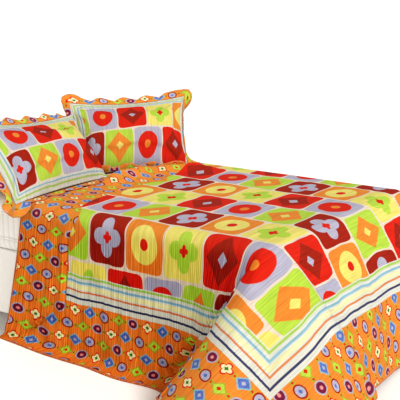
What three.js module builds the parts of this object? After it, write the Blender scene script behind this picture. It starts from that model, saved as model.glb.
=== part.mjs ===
// Quilt set on its bed: a channel-quilted bedspread that hangs to the floor over a plain bed,
// two filled pillow shams with scalloped flanges, and the plain pillows that they lean on.
// Millimetres, +Z up. The bed's long sides run along Y, its head is at +Y and its near side at -X.
import * as THREE from 'three';

// ---- driving dimensions ------------------------------------------------------------------
const MATTRESS = { width: 1200, length: 2000, top: 650, thick: 250, edge: 50, corner: 80 };
const BASE = { width: 1160, length: 1960, underside: 80, corner: 30 };
const FOOT = { radius: 32, inset: 110, sides: 16 };
const TOUCH = 0.4; // gap between pieces that touch

const QUILT = {
  thick: 5, // quilted cloth: two fabrics and a thin wadding
  nearDrop: 690, // flat cloth past each edge line of the mattress
  footDrop: 690,
  farDrop: 590,
  headPast: 260, // head hem, measured from the middle of the bed
  edge: 40, // the bend starts this far inside the mattress's edge
  bend: 80, // cloth length that the bend takes
  floorGap: 1,
  landing: 45, // the cloth turns flat within this height of the floor
  steepen: 700, // cloth length over which the top direction turns into the hem direction
  steps: 80,
  topColumns: 8, // facets of the flat top and of each drop
  topRows: 16,
  footwards: 1.45, // over 1 brings the top's rows together towards the foot
  bendRows: 5,
  dropRows: 10,
  cornerRays: 7, // to each side of the cloth's corner
};

// One row for each fold line of the drop. along: place on the edge path, in mm before (-) or
// after (+) the corner; the corner itself takes 0 to cornerSpan. aim: the way the cloth runs
// in plan, in degrees from -X towards -Y; flare: degrees out from hanging straight down.
const CORNER_SPAN = 150;
const FOLDS = [
  { along: -1220, aimTop: -30, aimHem: -78, flareTop: 8, flareHem: 12 },
  { along: -1120, aimTop: -22, aimHem: -62, flareTop: 6, flareHem: 8 },
  { along: -1000, aimTop: -8, aimHem: -35, flareTop: 4, flareHem: 5 },
  { along: -830, aimTop: 0, aimHem: -10, flareTop: 3, flareHem: 3 },
  { along: -640, aimTop: 0, aimHem: 0, flareTop: 4, flareHem: 6 },
  { along: -460, aimTop: 0, aimHem: 0, flareTop: 3, flareHem: 4 },
  { along: -300, aimTop: 0, aimHem: -8, flareTop: 3, flareHem: 15 },
  { along: -200, aimTop: 0, aimHem: -20, flareTop: 5, flareHem: 35 },
  { along: -110, aimTop: 0, aimHem: -28, flareTop: 12, flareHem: 47 },
  { along: -45, aimTop: 0, aimHem: -38, flareTop: 27, flareHem: 46 },
  { along: 5, aimTop: -8, aimHem: -42, flareTop: 39, flareHem: 42 },
  { along: 40, aimTop: 6, aimHem: -4, flareTop: 42, flareHem: 42 },
  { along: 75, aimTop: 34, aimHem: 34, flareTop: 34, flareHem: 32 },
  { along: 115, aimTop: 74, aimHem: 78, flareTop: 36, flareHem: 31 },
  { along: 165, aimTop: 103, aimHem: 104, flareTop: 42, flareHem: 28 },
  { along: 230, aimTop: 100, aimHem: 95, flareTop: 38, flareHem: 20 },
  { along: 330, aimTop: 92, aimHem: 90, flareTop: 38, flareHem: 12 },
  { along: 520, aimTop: 90, aimHem: 92, flareTop: 40, flareHem: 10 },
  { along: 710, aimTop: 90, aimHem: 90, flareTop: 37, flareHem: 9 },
];

// The filling sits lower (slump) and fuller towards the right (rightward), so the top draws in
// more than the other sides.
const SHAM = {
  grid: [14, 12], frontCrown: 88, backCrown: 48, drawIn: 0.055, topDrawIn: 0.13, seam: 3,
  slump: 0.16, rightward: 2.2,
};
// A flange leaves its seam at firstBend degrees at most and curls to its full bend. The twist
// from a side's bend to a corner's is gentler (softTwist) the more the two differ. From cornerFrom
// of the way to a corner, the flange widens by up to corner and turns to the diagonal.
const FLANGE = {
  width: 26, scallop: 26, corner: 22, lobe: 125, thick: 3, ruffle: 6, gap: 2.3, firstBend: 45,
  cornerFrom: 0.78, twist: 12, softTwist: 100, tuck: 0.6,
};
// Each filled piece is stretched between its four corners (bottomLeft seen from the front). The
// tucked side's flange is narrower, caught between the two shams.
const SHAMS = [
  {
    name: 'near',
    tucked: 'right',
    corners: { bottomLeft: [-657, 296, 656], bottomRight: [0, 325, 657.6],
      topRight: [100, 640, 930], topLeft: [-590, 650, 975] },
    flangeBend: { bottom: 45.3, right: -120, top: -30, left: -12,
      bottomLeft: -8, bottomRight: 41, topRight: -90, topLeft: 6 },
  },
  {
    name: 'far',
    tucked: 'left',
    corners: { bottomLeft: [-46, 490, 653.8], bottomRight: [422, 132, 658.1],
      topRight: [690, 357, 982], topLeft: [172, 716, 977] },
    flangeBend: { bottom: 100, right: -85, top: -12, left: -20,
      bottomLeft: 60, bottomRight: 60, topRight: 4, topLeft: 4 },
  },
];

const PILLOW = { grid: [10, 8], width: 620, depth: 400, thick: 178, pressed: 0.76, drawIn: 0.04, seam: 3 };
const PILLOWS = [
  { name: 'near_lower', centre: [-335, 745], turn: 0, level: 0 },
  { name: 'near_upper', centre: [-340, 835], turn: 2, level: 1 },
  { name: 'far_lower', centre: [350, 790], turn: -10, level: 0 },
  { name: 'far_upper', centre: [362, 845], turn: -13, level: 1 },
];

const COLOURS = {
  orange: 0xf07a1e,
  print: 0xc8401f,
  white: 0xf2f0ea,
  ticking: 0xe9e6dd,
  base: 0xd8d2c4,
  wood: 0x8a6a48,
};

const rad = THREE.MathUtils.degToRad;
const clamp = THREE.MathUtils.clamp;

// ---- small tools -------------------------------------------------------------------------
// Smooth curve through a table's rows, without overshoot (limited cubic slopes).
function tableCurve(rows, key, column) {
  const x = rows.map((row) => row[key]);
  const y = rows.map((row) => row[column]);
  const rise = x.slice(1).map((value, i) => (y[i + 1] - y[i]) / (value - x[i]));
  const slope = y.map((_, i) => {
    if (i === 0) return rise[0];
    if (i === y.length - 1) return rise[i - 1];
    if (rise[i - 1] * rise[i] <= 0) return 0;
    return (2 * rise[i - 1] * rise[i]) / (rise[i - 1] + rise[i]);
  });
  return (at) => {
    if (at <= x[0]) return y[0];
    if (at >= x[x.length - 1]) return y[y.length - 1];
    const i = x.findIndex((value) => value > at) - 1;
    const h = x[i + 1] - x[i];
    const k = (at - x[i]) / h;
    const a = y[i] * (1 + 2 * k) * (1 - k) ** 2 + y[i + 1] * k * k * (3 - 2 * k);
    return a + h * slope[i] * k * (1 - k) ** 2 - h * slope[i + 1] * k * k * (1 - k);
  };
}

// A closed cloth from facets over named points: both faces, half the thickness to each side,
// and a rim along every open edge.
function clothGeometry(facets, place, thick) {
  const index = new Map();
  const points = [];
  const vertex = (point) => {
    const key = point.map((value) => value.toFixed(3)).join(',');
    if (!index.has(key)) {
      index.set(key, points.length);
      points.push(place(...point));
    }
    return index.get(key);
  };
  const triangles = [];
  for (const facet of facets) {
    const corners = facet.map(vertex);
    for (const triangle of [[corners[0], corners[1], corners[2]], [corners[0], corners[2], corners[3]]]) {
      if (new Set(triangle).size === 3) triangles.push(triangle);
    }
  }
  const normals = points.map(() => new THREE.Vector3());
  for (const [a, b, c] of triangles) {
    const ab = points[b].clone().sub(points[a]);
    const ac = points[c].clone().sub(points[a]);
    const normal = ab.cross(ac);
    for (const corner of [a, b, c]) normals[corner].add(normal);
  }
  const count = points.length;
  const positions = [];
  for (const side of [0.5, -0.5]) {
    points.forEach((point, i) => {
      const offset = normals[i].clone().normalize().multiplyScalar(side * thick);
      positions.push(...point.clone().add(offset).toArray());
    });
  }
  const faces = [];
  const open = new Map();
  for (const [a, b, c] of triangles) {
    faces.push(a, b, c, a + count, c + count, b + count);
    for (const [from, to] of [[a, b], [b, c], [c, a]]) {
      if (!open.delete(`${to},${from}`)) open.set(`${from},${to}`, [from, to]);
    }
  }
  for (const [from, to] of open.values()) {
    faces.push(to, from, from + count, to, from + count, to + count);
  }
  return meshGeometry(positions, faces);
}

function meshGeometry(positions, faces) {
  const geometry = new THREE.BufferGeometry();
  geometry.setAttribute('position', new THREE.Float32BufferAttribute(positions, 3));
  geometry.setIndex(faces);
  return geometry;
}

function piece(name, geometry, colour, roughness = 0.9) {
  const material = new THREE.MeshStandardMaterial({ color: colour, roughness, metalness: 0 });
  const mesh = new THREE.Mesh(geometry, material);
  mesh.name = name;
  return mesh;
}

function roundedPlan(width, length, radius) {
  const [x, y] = [width / 2, length / 2];
  const shape = new THREE.Shape();
  shape.absarc(x - radius, -y + radius, radius, -Math.PI / 2, 0);
  shape.absarc(x - radius, y - radius, radius, 0, Math.PI / 2);
  shape.absarc(-x + radius, y - radius, radius, Math.PI / 2, Math.PI);
  shape.absarc(-x + radius, -y + radius, radius, Math.PI, 1.5 * Math.PI);
  shape.closePath();
  return shape;
}

// ---- bed ---------------------------------------------------------------------------------
function bed() {
  const group = new THREE.Group();
  const mattressBottom = MATTRESS.top - MATTRESS.thick;
  const ticking = new THREE.ExtrudeGeometry(
    roundedPlan(MATTRESS.width - 2 * MATTRESS.edge, MATTRESS.length - 2 * MATTRESS.edge,
      MATTRESS.corner - MATTRESS.edge),
    { depth: MATTRESS.thick - 2 * MATTRESS.edge, bevelSize: MATTRESS.edge,
      bevelThickness: MATTRESS.edge, bevelSegments: 4, curveSegments: 3 },
  );
  const mattress = piece('mattress', ticking, COLOURS.ticking);
  mattress.position.z = mattressBottom + MATTRESS.edge;
  group.add(mattress);

  const height = mattressBottom - TOUCH - BASE.underside;
  const box = new THREE.ExtrudeGeometry(roundedPlan(BASE.width, BASE.length, BASE.corner),
    { depth: height, bevelEnabled: false, curveSegments: 4 });
  const base = piece('bed_base', box, COLOURS.base);
  base.position.z = BASE.underside;
  group.add(base);

  const footHeight = BASE.underside - TOUCH;
  const legPlan = new THREE.CylinderGeometry(FOOT.radius, FOOT.radius, footHeight, FOOT.sides);
  for (const [row, y] of [-1, 0, 1].entries()) {
    for (const [side, x] of [-1, 1].entries()) {
      const foot = piece(`bed_foot_${row + 1}_${side + 1}`, legPlan, COLOURS.wood, 0.6);
      foot.rotation.x = Math.PI / 2;
      foot.position.set(x * (BASE.width / 2 - FOOT.inset), y * (BASE.length / 2 - FOOT.inset),
        footHeight / 2);
      group.add(foot);
    }
  }
  return group;
}

// ---- bedspread ---------------------------------------------------------------------------
const quiltLevel = MATTRESS.top + TOUCH + QUILT.thick / 2;
const floorLevel = QUILT.floorGap + QUILT.thick / 2;
const bendX = MATTRESS.width / 2 - QUILT.edge;
const bendY = MATTRESS.length / 2 - QUILT.edge;
const fold = {
  aimTop: tableCurve(FOLDS, 'along', 'aimTop'),
  aimHem: tableCurve(FOLDS, 'along', 'aimHem'),
  flareTop: tableCurve(FOLDS, 'along', 'flareTop'),
  flareHem: tableCurve(FOLDS, 'along', 'flareHem'),
};

// Where a flat point of the cloth (u across, v along the bed) lies once draped. The far half
// hangs as the near half does.
function draped(u, v) {
  const side = u > 0 ? -1 : 1;
  const past = Math.abs(u) - bendX; // past the side's bend line
  const below = -v - bendY; // past the foot's bend line
  const startX = -Math.min(Math.abs(u), bendX);
  const startY = Math.max(v, -bendY);
  let along = below;
  let run = Math.max(past, 0);
  if (past > 0 && below > 0) {
    along = (CORNER_SPAN * Math.atan2(below, past)) / (Math.PI / 2);
    run = Math.hypot(past, below);
  } else if (below > 0) {
    along = CORNER_SPAN - past;
    run = below;
  }
  // Cloth that crosses the straight edge aslant needs more length to turn over it.
  const square = along > CORNER_SPAN / 2 ? 90 : 0;
  const slant = along < 0 || along > CORNER_SPAN ? rad(fold.aimTop(along) - square) : 0;
  const bend = QUILT.bend / Math.cos(slant);
  const point = new THREE.Vector3(startX, startY, quiltLevel);
  const step = run / QUILT.steps;
  for (let i = 0; i < QUILT.steps && run > 0; i += 1) {
    const gone = (i + 0.5) * step;
    const turned = clamp(gone / bend, 0, 1);
    const lower = clamp(gone / QUILT.steepen, 0, 1);
    const flare = THREE.MathUtils.lerp(fold.flareTop(along), fold.flareHem(along), lower);
    const aim = rad(THREE.MathUtils.lerp(fold.aimTop(along), fold.aimHem(along), lower));
    const landing = clamp((point.z - floorLevel) / QUILT.landing, 0, 1);
    const down = Math.sin(rad((90 - flare) * turned)) * Math.sqrt(landing);
    const out = Math.sqrt(1 - down * down);
    point.x -= Math.cos(aim) * out * step;
    point.y -= Math.sin(aim) * out * step;
    point.z -= down * step;
  }
  point.x *= side;
  return point;
}

// A line of cloth points straight out from the bend line, close together round the bend.
function dropLine([u, v], turn, reach) {
  const runs = [];
  for (let i = 0; i < QUILT.bendRows; i += 1) runs.push((i * QUILT.bend) / QUILT.bendRows);
  for (let i = 0; i <= QUILT.dropRows; i += 1) {
    runs.push(THREE.MathUtils.lerp(QUILT.bend, reach, i / QUILT.dropRows));
  }
  return runs.map((run) => [u - run * Math.cos(turn), v - run * Math.sin(turn)]);
}

// Rays from a corner: the middle one ends in the cloth's own corner.
function cornerLines(side, sideReach, footReach) {
  const middle = Math.atan2(footReach, sideReach);
  const lines = [];
  for (let k = 1; k < 2 * QUILT.cornerRays; k += 1) {
    const half = k / QUILT.cornerRays - 1;
    const turn = half < 0 ? middle * (1 + half) : middle + (Math.PI / 2 - middle) * half;
    const reach = Math.min(sideReach / Math.cos(turn), footReach / Math.sin(turn));
    const line = dropLine([-bendX, -bendY], turn, reach);
    lines.push(line.map(([u, v]) => [u * side, v]));
  }
  return lines;
}

function quilt() {
  const across = spread(-bendX, bendX, QUILT.topColumns);
  const along = spread(0, 1, QUILT.topRows).map((share) => (
    -bendY + (QUILT.headPast + bendY) * share ** QUILT.footwards));
  const [near, far, foot] = [QUILT.nearDrop, QUILT.farDrop, QUILT.footDrop]
    .map((drop) => drop + QUILT.edge);
  const skirt = [ // from the near side's head end round to the far side's
    ...along.toReversed().map((v) => dropLine([-bendX, v], 0, near)),
    ...cornerLines(1, near, foot),
    ...across.map((u) => dropLine([u, -bendY], Math.PI / 2, foot)),
    ...cornerLines(-1, far, foot).toReversed(),
    ...along.map((v) => dropLine([bendX, v], Math.PI, far)),
  ];
  const top = along.map((v) => across.map((u) => [u, v]));
  const facets = [...ribbons(top), ...ribbons(skirt)];
  return piece('quilt', clothGeometry(facets, draped, QUILT.thick), COLOURS.print);
}

function spread(from, to, count) {
  return Array.from({ length: count + 1 }, (_, i) => from + ((to - from) * i) / count);
}

// Facets between neighbouring lines of points.
function ribbons(lines) {
  const facets = [];
  for (let j = 0; j + 1 < lines.length; j += 1) {
    const [line, next] = [lines[j], lines[j + 1]];
    for (let i = 0; i + 1 < line.length; i += 1) {
      facets.push([line[i], line[i + 1], next[i + 1], next[i]]);
    }
  }
  return facets;
}

// ---- filled pieces -----------------------------------------------------------------------
// A filled cover's seam plane: s runs from left to right and t from bottom to top, -1 to 1.
// The sides draw in between the corners.
function seamPlane(corners, drawIn, topDrawIn = drawIn) {
  const names = ['bottomLeft', 'bottomRight', 'topRight', 'topLeft'];
  const [bl, br, tr, tl] = names.map((name) => new THREE.Vector3(...corners[name]));
  const point = (s, t) => {
    const x = (1 + s * (1 - drawIn * (1 - t * t))) / 2;
    const ends = THREE.MathUtils.lerp(drawIn, topDrawIn, Math.max(t, 0));
    const y = (1 + t * (1 - ends * (1 - s * s))) / 2;
    const low = bl.clone().lerp(br, x);
    return low.lerp(tl.clone().lerp(tr, x), y);
  };
  const normal = br.clone().sub(tl).cross(tr.clone().sub(bl)).normalize();
  return { point, normal };
}

// How full the cover is at a place, 0 at its seams and 1 in its middle.
function fullness(s, t, slump = 0, rightward = 0) {
  const low = t + slump * (1 - t * t);
  const side = Math.abs(s) ** (2.4 + rightward * Math.max(s, 0));
  return ((1 - side) * Math.max(1 - Math.abs(low) ** 2.2, 0)) ** 0.72;
}

// Both faces of a filled cover, joined by its seam. front and back give each face's height.
function filledGeometry(plane, { grid, seam }, front, back) {
  const [columns, rows] = grid;
  const closer = (k) => Math.sin(1.25 * k) / Math.sin(1.25); // lines closer together at the seams
  const places = spread(-1, 1, rows).flatMap((t) => spread(-1, 1, columns)
    .map((s) => [closer(s), closer(t)]));
  const faces = [];
  const positions = [];
  for (const side of [1, -1]) {
    const first = positions.length / 3;
    for (const [s, t] of places) {
      const height = side * (seam + (side > 0 ? front(s, t) : back(s, t)));
      positions.push(...plane.point(s, t).addScaledVector(plane.normal, height).toArray());
    }
    for (let j = 0; j < rows; j += 1) {
      for (let i = 0; i < columns; i += 1) {
        const a = first + j * (columns + 1) + i;
        const [b, c, d] = [a + 1, a + columns + 2, a + columns + 1];
        faces.push(...(side > 0 ? [a, b, c, a, c, d] : [a, c, b, a, d, c]));
      }
    }
  }
  const rim = [];
  for (let i = 0; i < columns; i += 1) rim.push(i);
  for (let j = 0; j < rows; j += 1) rim.push(columns + j * (columns + 1));
  for (let i = columns; i > 0; i -= 1) rim.push(rows * (columns + 1) + i);
  for (let j = rows; j > 0; j -= 1) rim.push(j * (columns + 1));
  const under = (rows + 1) * (columns + 1);
  rim.forEach((from, i) => {
    const to = rim[(i + 1) % rim.length];
    faces.push(to, from, from + under, to, from + under, to + under);
  });
  return meshGeometry(positions, faces);
}

function shamBody(sham) {
  const plane = seamPlane(sham.corners, SHAM.drawIn, SHAM.topDrawIn);
  const geometry = filledGeometry(plane, SHAM,
    (s, t) => SHAM.frontCrown * fullness(s, t, SHAM.slump, SHAM.rightward),
    (s, t) => SHAM.backCrown * fullness(s, t, SHAM.slump));
  return piece(`sham_${sham.name}`, geometry, COLOURS.print);
}

// The scalloped flange round a sham: a ring of cloth just outside its seam, bent towards the
// front or the back by its own angle on each side.
function shamFlange(sham) {
  const plane = seamPlane(sham.corners, SHAM.drawIn, SHAM.topDrawIn);
  const sides = [
    { name: 'bottom', at: (k) => [k, -1], out: [0, -1], corners: ['bottomLeft', 'bottomRight'] },
    { name: 'right', at: (k) => [1, k], out: [1, 0], corners: ['bottomRight', 'topRight'] },
    { name: 'top', at: (k) => [-k, 1], out: [0, 1], corners: ['topRight', 'topLeft'] },
    { name: 'left', at: (k) => [-1, -k], out: [-1, 0], corners: ['topLeft', 'bottomLeft'] },
  ];
  const perSide = 20;
  const stations = [];
  sides.forEach((side, n) => {
    const previous = sides[(n + 3) % 4];
    const following = sides[(n + 1) % 4];
    for (let i = 0; i < perSide; i += 1) {
      const k = (2 * i) / perSide - 1;
      const cornerward = clamp((Math.abs(k) - FLANGE.cornerFrom) / (1 - FLANGE.cornerFrom), 0, 1);
      const toCorner = (1 - Math.sqrt(1 - cornerward ** 2)) / 2;
      const other = k < 0 ? previous : following;
      const out = side.out.map((value, axis) => value * (1 - toCorner) + other.out[axis] * toCorner);
      const { [side.name]: along, [side.corners[k < 0 ? 0 : 1]]: corner } = sham.flangeBend;
      const twist = FLANGE.twist / (1 + (Math.abs(along - corner) / FLANGE.softTwist) ** 2);
      const bend = rad(THREE.MathUtils.lerp(along, corner, Math.abs(k) ** twist));
      const full = side.name === sham.tucked ? FLANGE.tuck + (1 - FLANGE.tuck) * Math.abs(k) ** twist : 1;
      const widen = FLANGE.corner * Math.sin((cornerward * Math.PI) / 2);
      stations.push({ at: side.at(k), out, bend, full, widen });
    }
  });
  const here = stations.map(({ at }) => plane.point(...at));
  let gone = 0;
  const lengths = here.map((point, i) => {
    const before = gone;
    gone += point.distanceTo(here[(i + 1) % here.length]);
    return before;
  });
  const lobes = Math.round(gone / FLANGE.lobe);
  const across = plane.point(1, 0).sub(plane.point(-1, 0)).normalize();
  const upward = plane.normal.clone().cross(across);
  const place = (station, share) => {
    const { out, bend, full, widen } = stations[station];
    const outward = across.clone().multiplyScalar(out[0]).addScaledVector(upward, out[1]).normalize();
    const way = (angle) => outward.clone().multiplyScalar(Math.cos(angle))
      .addScaledVector(plane.normal, Math.sin(angle));
    const turn = (lengths[station] / gone) * lobes * Math.PI;
    const width = full * (FLANGE.width + widen + FLANGE.scallop * Math.abs(Math.cos(turn)));
    const wave = FLANGE.ruffle * Math.sin(2 * turn) * share;
    const first = clamp(bend, -rad(FLANGE.firstBend), rad(FLANGE.firstBend));
    return here[station].clone()
      .addScaledVector(way(first), FLANGE.gap + FLANGE.thick / 2)
      .addScaledVector(way(THREE.MathUtils.lerp(first, bend, share)), width * share)
      .addScaledVector(plane.normal, wave);
  };
  const lines = spread(0, stations.length, stations.length).map((station) => (
    [0, 0.5, 1].map((share) => [station % stations.length, share])));
  const geometry = clothGeometry(ribbons(lines), place, FLANGE.thick);
  return piece(`flange_${sham.name}`, geometry, COLOURS.orange);
}

// A plain pillow lying flat, its underside and top pressed flat where pillows meet.
function pillow({ name, centre, turn, level }) {
  const pressed = PILLOW.pressed * PILLOW.thick;
  const underside = MATTRESS.top + TOUCH + level * (pressed + TOUCH);
  const middle = underside + pressed / 2;
  const [x, y] = [PILLOW.width / 2, PILLOW.depth / 2];
  const corners = { bottomLeft: [-x, -y, 0], bottomRight: [x, -y, 0], topRight: [x, y, 0],
    topLeft: [-x, y, 0] };
  const crown = (s, t) => (PILLOW.thick / 2 - PILLOW.seam) * fullness(s, t);
  const flattened = (s, t) => Math.min(crown(s, t), pressed / 2 - PILLOW.seam);
  const geometry = filledGeometry(seamPlane(corners, PILLOW.drawIn), PILLOW,
    level > 0 ? crown : flattened, flattened);
  const mesh = piece(`pillow_${name}`, geometry, COLOURS.white);
  mesh.rotation.z = rad(turn);
  mesh.position.set(centre[0], centre[1], middle);
  return mesh;
}

// ---- the whole set, stood with the middle of its box's floor face at the origin ----------
const model = new THREE.Group();
model.add(bed(), quilt());
for (const sham of SHAMS) model.add(shamBody(sham), shamFlange(sham));
for (const each of PILLOWS) model.add(pillow(each));
model.updateMatrixWorld(true);
const box = new THREE.Box3().setFromObject(model, true);
const centre = box.getCenter(new THREE.Vector3());
model.position.set(-centre.x, -centre.y, -box.min.z);
export default model;
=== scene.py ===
"""Looks of a quilt set on its bed: a channel-quilted bedspread that hangs to the floor, two
filled shams with scalloped flanges, and plain pillows behind them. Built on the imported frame.
"""

import math
from functools import partialmethod

import bpy
import numpy as np
from mathutils import Matrix, Vector


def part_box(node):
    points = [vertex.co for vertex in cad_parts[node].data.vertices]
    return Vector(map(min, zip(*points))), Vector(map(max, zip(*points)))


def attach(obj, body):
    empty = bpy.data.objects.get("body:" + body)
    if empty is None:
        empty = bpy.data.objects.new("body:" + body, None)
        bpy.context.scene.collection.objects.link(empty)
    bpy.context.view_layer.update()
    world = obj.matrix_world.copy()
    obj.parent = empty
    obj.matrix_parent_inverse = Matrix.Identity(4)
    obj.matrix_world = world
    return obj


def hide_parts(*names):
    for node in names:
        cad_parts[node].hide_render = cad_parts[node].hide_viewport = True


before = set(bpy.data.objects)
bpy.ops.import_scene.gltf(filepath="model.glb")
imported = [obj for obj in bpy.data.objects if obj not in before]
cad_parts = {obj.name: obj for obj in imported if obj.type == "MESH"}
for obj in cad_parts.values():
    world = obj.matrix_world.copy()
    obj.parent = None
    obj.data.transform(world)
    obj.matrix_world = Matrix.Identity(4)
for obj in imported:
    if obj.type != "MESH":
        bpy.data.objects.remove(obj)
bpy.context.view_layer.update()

# ---- sizes, in millimetres and degrees ----
# They are the frame's own, apart from QUILT's head_past, which is 260 there, and the near sham's
# top bend, which is -30 there.
MM = 0.001
TINY = 1e-9  # guards a division by zero
MATTRESS = {"width": 1200, "length": 2000, "top": 650, "thick": 250, "edge": 50, "corner": 80}
HALF_WIDTH, HALF_LENGTH = MATTRESS["width"] / 2, MATTRESS["length"] / 2
BASE = {"width": 1160, "length": 1960, "underside": 80, "corner": 30}
TOUCH = 0.4
QUILT = {
    "thick": 5, "near_drop": 690, "foot_drop": 690, "far_drop": 590, "head_past": 276,
    "edge": 40, "bend": 80, "landing": 45, "floor_gap": 1, "steepen": 700, "steps": 80,
}
NEAR, FAR = -HALF_WIDTH - QUILT["near_drop"], HALF_WIDTH + QUILT["far_drop"]  # the cloth's edges
FOOT = -HALF_LENGTH - QUILT["foot_drop"]
CORNER_SPAN = 150  # how much of FOLDS a corner takes
FOLDS = np.array([  # place along the hem, aim at the top and hem, flare at the top and hem
    (-1220, -30, -78, 8, 12),
    (-1120, -22, -62, 6, 8),
    (-1000, -8, -35, 4, 5),
    (-830, 0, -10, 3, 3),
    (-640, 0, 0, 4, 6),
    (-460, 0, 0, 3, 4),
    (-300, 0, -8, 3, 15),
    (-200, 0, -20, 5, 35),
    (-110, 0, -28, 12, 47),
    (-45, 0, -38, 27, 46),
    (5, -8, -42, 39, 42),
    (40, 6, -4, 42, 42),
    (75, 34, 34, 34, 32),
    (115, 74, 78, 36, 31),
    (165, 103, 104, 42, 28),
    (230, 100, 95, 38, 20),
    (330, 92, 90, 38, 12),
    (520, 90, 92, 40, 10),
    (710, 90, 90, 37, 9),
], dtype=float)

SHAM = {
    "width": 660, "height": 510, "front_crown": 88, "back_crown": 48, "draw_in": 0.055,
    "top_draw_in": 0.13, "seam": 3, "slump": 0.16, "rightward": 2.2, "pitch": 7,
}
FLANGE = {
    "width": 26, "scallop": 26, "corner": 22, "lobe": 125, "thick": 3, "ruffle": 6, "gap": 2.3,
    "first_bend": 45, "corner_from": 0.78, "twist": 12, "soft_twist": 100, "tuck": 0.6,
    "stations": 110, "rings": 10, "ring_share": 0.31,
}
LYING = {"from": 40, "full": 15, "under": 6, "lifted": 0.12, "hanging": 90}  # a flange on the bed
OUTWARD = ((0, -1), (1, 0), (0, 1), (-1, 0))  # from the bottom, right, top and left sides
# Sides go round from the bottom, and corners from the bottom left. A flange is bent by an angle on
# each side and another at each corner.
SHAMS = [
    {
        "name": "near", "tucked": 1, "pulled_under": 0,
        "corners": ((-657, 296, 656), (0, 325, 657.6), (100, 640, 930), (-590, 650, 975)),
        "bends": (45.3, -120, -8, -12), "corner_bends": (-8, 41, -90, 6),
    },
    {
        "name": "far", "tucked": 3, "pulled_under": 38,
        "corners": ((-46, 490, 653.8), (422, 132, 658.1), (690, 357, 982), (172, 716, 977)),
        "bends": (100, -85, -12, -20), "corner_bends": (60, 60, 4, 4),
    },
]
PILLOW = {
    "width": 620, "height": 400, "thick": 178, "pressed": 0.76, "draw_in": 0.04, "seam": 3,
    "pitch": 11,
}
CROWN = {"side": 2.4, "low": 2.2, "round": 0.72}  # powers that shape a filled cover's faces
LEANER = {"front": 0.97, "back": 0.94}  # a sham's crowns before it wrinkles, as shares
SEAMWARD = 1.25  # how much closer a filled cover's grid lines are by its seam, as an angle
SETTLING = {  # pressure, growth, and the most that a point moves out and in
    "sham": (1.2, 0.03, 5, 9), "pillow": (0.6, 0.05, 0.2, 9),
}
SETTLING_FRAMES = 18
CLOTH = {
    "quality": 6, "mass": 0.25, "tension_stiffness": 12, "compression_stiffness": 12,
    "shear_stiffness": 4, "bending_stiffness": 0.35, "vertex_group_mass": "seam",
    "use_pressure": True,
}
DENT = {"across": (0.3, -0.4), "up": (0.9, 0.1)}  # where it starts and where it is whole
PILLOWS = [dict(zip(("name", "centre", "turn", "level", "dent"), row)) for row in (
    ("near_lower", (-335, 745), 0, 0, 0), ("near_upper", (-340, 835), 2, 1, 0),
    ("far_lower", (350, 790), -10, 0, 0), ("far_upper", (362, 845), -13, 1, 0.6),
)]

# The print on the bedspread, in cloth millimetres from the edge of the mattress.
BAND = {"start": 260, "end": 391}
BAND_LINES = [  # each line's colour, its place and its width
    ("green", 270, 10), ("sky", 293, 10), ("cream", 314, 19), ("rust", 334, 8), ("navy", 365, 9),
]
HEM = 9
BLOCK_PITCH = (253, 200)
BLOCK_START = (541, 0)
SPRIG_PITCH = (66, 78)
SHAM_BLOCK_PITCH = (214, 170)
SHAM_BLOCK_START = (0, 85)
FLANGE_SPRIG_START = 8
SHAM_BAND = 44
SHAM_PULLED = 34  # how far the cover is pulled round towards the right
SHAM_LINES = [("green", 16, 7), ("sky", 33, 6)]
FLANGE_HEM = (3.5, 1)  # its width and how soft its edge is
LINE_SOFT = 1.2  # how soft the printed edges are
WANDER = 14  # how far a printed line strays to either side
CRINKLE_SHIFT = 4  # how far the print is drawn along by fine crinkles

COLOURS = {  # sRGB
    "white": "cdcec5", "gap": "d5c9bb", "cream": "d8d6ad", "orange": "d88e44", "rust": "cd885e",
    "red": "cd3524", "maroon": "a03322", "lilac": "b0aebe", "lime": "b0ca56",
    "yellow": "dad07c", "green": "a7c26f", "sky": "8fb3c2", "navy": "4d4d6f",
    "blue": "677cb7", "plum": "80304d", "pink": "d49696", "leaf": "427c39", "olive": "afa443",
    "snow": "fcfcfc", "linen": "fafaf7", "ticking": "f6f5f2", "oak": "a8855c", "walnut": "6e4a2e",
}


def linear(name):
    """A named colour as the linear values that shaders take."""
    text = COLOURS[name]
    shares = [int(text[i:i + 2], 16) / 255 for i in (0, 2, 4)]
    return tuple(c / 12.92 if c <= 0.04045 else ((c + 0.055) / 1.055) ** 2.4 for c in shares) + (1,)


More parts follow.
